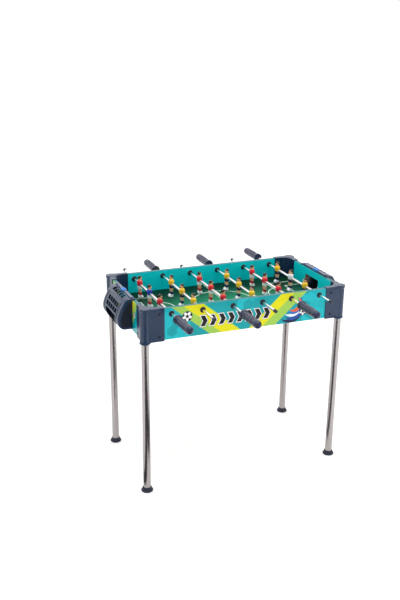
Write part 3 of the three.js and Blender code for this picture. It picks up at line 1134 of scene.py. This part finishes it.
def goal_basket():
    """The basket at the right: a curved shell with cheeks, a grille above and a ball pocket below."""
    back = END_OUT + GAP
    basket = prism("basket", basket_outline(0, back), -BASKET_HALF, BASKET_HALF, "y")
    bevelled(basket, 2.2, segments=4, angle=50)
    hollow = BASKET_HALF - WALL
    tools = [prism("hollow", basket_outline(WALL, back - 5), -hollow, hollow, "y")]
    slot_end = RAIL_X + RAIL_WIDTH / 2 + 3
    tools.append(block("slot", (back - 5, slot_end), (-CHEEK, CHEEK), (600, BASKET_TOP + 5)))
    tools.append(prism("pocket", rounded(rectangle(-52, 52, 527, 558), 5), 355, 400, "x"))
    columns, width, bar = 5, 18, 3.5
    for column in range(columns):
        middle = (column - (columns - 1) / 2) * (width + bar)
        left, right = middle - width / 2, middle + width / 2
        tools.append(prism("window", rounded(rectangle(left, right, 563, 577), 1.5), 350, 400, "x"))
        tools.append(prism("window", rounded(rectangle(left, right, 580.5, 594), 1.5), 350, 400, "x"))
        top = rounded(rectangle(347.5, 361, left, right), 1.5)
        tools.append(prism("window", top, 598, 630))
    for side in (-1, 1):
        near, far = sorted((side * 59, side * 71))
        tools.append(skin_tool(1.2, rounded(rectangle(near, far, 534, 601), 5.9, steps=6)))
        cheek = [(x - (3 if x > 350 else 0), z) for x, z in basket_outline(7, back + 3)]
        tools.append(prism("cheek", cheek, side * (BASKET_HALF - 1.1), side * (BASKET_HALF + 5), "y"))
    cut(basket, *tools)
    hooks = []
    for side in (-1, 1):
        hook = block(
            "hook",
            (END_IN + 3, back + 8),
            (side * CHEEK, side * BASKET_HALF),
            (BOARD_TOP + GAP, BASKET_TOP),
        )
        hooks.append(bevelled(hook, 0.7))
    lip = prism("lip", rounded(rectangle(-55, 55, 521, 529), 3), 355, 400, "x")
    edge = prism("edge", basket_outline(-1.1, 350), -60, 60, "y")
    combined(edge, [lip], "INTERSECT")
    cut(edge, prism("core", basket_outline(1, 330), -70, 70, "y"))
    joined(basket, *hooks, edge)
    return smoothed(basket)


def score_rail():
    """The rail at the right: a flat bar with small notches, between two blocks."""
    half = RAIL_WIDTH / 2
    width = (RAIL_X - half, RAIL_X + half)
    bar = block("rail", width, (1 - RAIL_HALF, RAIL_HALF - 1), (RAIL_BOTTOM, RAIL_TOP))
    bevelled(bar, 0.5)
    notches = []
    notch_pitch = 10.9
    for step in range(-5, 6):
        y = step * notch_pitch
        notch = (y - 0.35, y + 0.35)
        notches.append(block("notch", (RAIL_X - 5, RAIL_X - 2.6), notch, (RAIL_TOP - 0.35, RAIL_TOP + 2)))
    cut(bar, *notches)
    blocks = []
    for side in (-1, 1):
        end = block(
            "block",
            (RAIL_X - half - 1, RAIL_X + half + 1),
            (side * (RAIL_HALF - RAIL_BLOCK), side * RAIL_HALF),
            (BOARD_TOP + GAP, RAIL_TOP + 0.7),
        )
        blocks.append(bevelled(end, 0.7))
    return smoothed(joined(bar, *blocks))


def score_slider():
    """The slider at the right: a sleeve around the rail with a round hole and finger ridges."""
    half, clear, wall = RAIL_WIDTH / 2, 0.5, 1.6
    outer = half + clear + wall
    sleeve = block(
        "sleeve",
        (RAIL_X - outer, RAIL_X + outer),
        (-12, 12),
        (RAIL_BOTTOM - clear - wall, RAIL_TOP + clear + wall),
    )
    bevelled(sleeve, 0.9, segments=3)
    inner = half + clear
    way = (RAIL_BOTTOM - clear, RAIL_TOP + clear)
    tools = [block("way", (RAIL_X - inner, RAIL_X + inner), (-20, 20), way)]
    hole = [(0, RAIL_TOP), (3.4, RAIL_TOP), (3.4, RAIL_TOP + 1.4), (4.0, RAIL_TOP + 3), (0, RAIL_TOP + 3)]
    tools.append(turned("hole", hole, 40, centre=(RAIL_X, 0, 0)))
    for y in (-9.6, -7.9, -6.2, 6.2, 7.9, 9.6):
        ridge = (y - 0.4, y + 0.4)
        tools.append(block("ridge", (RAIL_X - 4, RAIL_X + 4), ridge, (RAIL_TOP + 1.7, RAIL_TOP + 4)))
    return smoothed(cut(sleeve, *tools))


def choose_basket(middle, normal):
    """The sunken cheeks are darker, and the inside of the shell is darker as painted shade."""
    recessed = abs(normal.y) > 0.9 and abs(abs(middle.y) - BASKET_HALF + 1.1) < 0.2
    inside = abs(middle.y) < BASKET_HALF - WALL and middle.x * normal.x < 0
    return 1 if recessed or inside else 0


basket_shape, rail_shape, slider_shape = goal_basket(), score_rail(), score_slider()
for end, side in ENDS.items():
    basket = mirrored(basket_shape, "basket_" + end, x=side)
    materials = (NAVY, NAVY_DARK_AND_SHADE)
    hand_over(basket, "frame", "navy_plastic", materials, ["goal_basket_" + end], choose_basket)
    rail = mirrored(rail_shape, "scorebar_" + end, x=side)
    hand_over(rail, "frame", "rail_plastic", (RAIL,), ["score_rail_" + end])
    slider = mirrored(slider_shape, "scorer_" + end, x=side)
    slider.data.transform(Matrix.Translation((0, SCORE_REST[end] * MM, 0)))
    node = "score_slider_" + end
    hand_over(slider, node, "light_blue_plastic", (LIGHT_BLUE,), [node])
    number = 0
    for y in (-BASKET_SCREW_Y, BASKET_SCREW_Y):
        for x, z, slope_x, slope_z in BASKET_SCREWS:
            number += 1
            facing = (side * slope_x, 0, slope_z)
            place_screw(f"basket_screw_{end}_{number}", (side * x, y, z), facing)
for shape in (basket_shape, rail_shape, slider_shape, SCREW_MESH, *shapes.values()):
    bpy.data.objects.remove(shape)


# Floor, light and camera.


def area_light(name, place, aim, size, power, colour=(1, 1, 1)):
    """A soft rectangular light; places and sizes are in metres."""
    lamp = bpy.data.lights.new(name, "AREA")
    lamp.shape = "RECTANGLE"
    lamp.size, lamp.size_y = size
    lamp.energy = power
    lamp.color = colour
    made = add_object(name, lamp)
    made.location = place
    made.rotation_mode = "QUATERNION"
    made.rotation_quaternion = (Vector(aim) - Vector(place)).to_track_quat("-Z", "Y")
    return made


def make_floor():
    floor = block("floor", (-9000, 9000), (-9000, 9000), (-20, 0))
    surface = Surface("floor", paint(252, 252, 253), 0.9)
    surface.shader.inputs["Emission Strength"].default_value = 0.22
    surface.shade(surface.noise(900, detail=2) * 0.01 + 0.99)
    floor.data.materials.append(surface.material)


def make_world():
    """A studio with a bright wall behind the table and a dim room behind the camera."""
    world = bpy.data.worlds.new("studio")
    bpy.context.scene.world = world
    world.use_nodes = True
    tree = world.node_tree
    tree.nodes.clear()
    direction = tree.nodes.new("ShaderNodeTexCoord").outputs["Generated"]
    parts = tree.nodes.new("ShaderNodeSeparateXYZ")
    tree.links.new(direction, parts.inputs[0])
    x, y, z = (Number(tree, port) for port in parts.outputs)
    behind = (y * 1.2 + 0.1).use("MAXIMUM", 0.0, clamp=True)
    strength = z.most(0.0) * 0.45 + behind * 1.0 + 0.28
    light = tree.nodes.new("ShaderNodeBackground")
    light.inputs["Color"].default_value = (1.0, 0.99, 0.985, 1)
    tree.links.new(strength.socket, light.inputs["Strength"])
    plain = tree.nodes.new("ShaderNodeBackground")
    plain.inputs["Color"].default_value = (1, 1, 1, 1)
    plain.inputs["Strength"].default_value = 1.0
    choose = tree.nodes.new("ShaderNodeMixShader")
    path = tree.nodes.new("ShaderNodeLightPath")
    tree.links.new(path.outputs["Is Camera Ray"], choose.inputs[0])
    tree.links.new(light.outputs[0], choose.inputs[1])
    tree.links.new(plain.outputs[0], choose.inputs[2])
    output = tree.nodes.new("ShaderNodeOutputWorld")
    tree.links.new(choose.outputs[0], output.inputs["Surface"])


def make_camera():
    yaw, pitch, roll = (math.radians(angle) for angle in (22.70, 20.39, 0.81))
    ahead = Vector((math.sin(yaw) * math.cos(pitch), math.cos(yaw) * math.cos(pitch), -math.sin(pitch)))
    right = Vector((math.cos(yaw), -math.sin(yaw), 0))
    up = right.cross(ahead)
    right, up = math.cos(roll) * right + math.sin(roll) * up, math.cos(roll) * up - math.sin(roll) * right
    camera = bpy.data.cameras.new("camera")
    camera.lens = 50.16
    camera.sensor_width = 36
    camera.shift_x, camera.shift_y = -0.0167, 0.0333
    camera.clip_start, camera.clip_end = 0.05, 60
    made = add_object("camera", camera)
    turn = Matrix((right, up, -ahead)).transposed().to_4x4()
    made.matrix_world = Matrix.Translation((-1.044, -2.382, 1.441)) @ turn
    bpy.context.scene.camera = made


def make_flags():
    """Dark sheets on the floor that only reflections see: each leg shows one as its dark stripe."""
    surface = Surface("flag", paint(52, 46, 58), 1.0)
    eye = Vector((-1018, -2339))
    for corner, (sx, sy) in CORNERS.items():
        foot = Vector((sx * LEG_X, sy * LEG_Y))
        ahead = (eye - foot).normalized()
        across = Vector((-ahead.y, ahead.x))
        outline = []
        for away, half in ((260, 4), (520, 120), (1800, 620)):
            outline.append(foot + ahead * away + across * half)
            outline.insert(0, foot + ahead * away - across * half)
        flag = prism("flag_" + corner, [tuple(point) for point in outline], 2, 4)
        flag.data.materials.append(surface.material)
        flag.visible_camera = False
        flag.visible_diffuse = False
        flag.visible_shadow = False


make_floor()
make_flags()
make_world()
make_camera()
area_light("top", (0.2, -0.3, 3.2), (0, 0, 0.5), (2.6, 2.0), 52)
area_light("key", (-2.2, -2.6, 2.4), (0, 0, 0.5), (1.4, 1.4), 15)
area_light("fill", (1.9, -1.7, 1.0), (0.3, 0, 0.5), (1.0, 1.2), 9)
scene = bpy.context.scene
scene.view_settings.view_transform = "Standard"
scene.view_settings.look = "None"
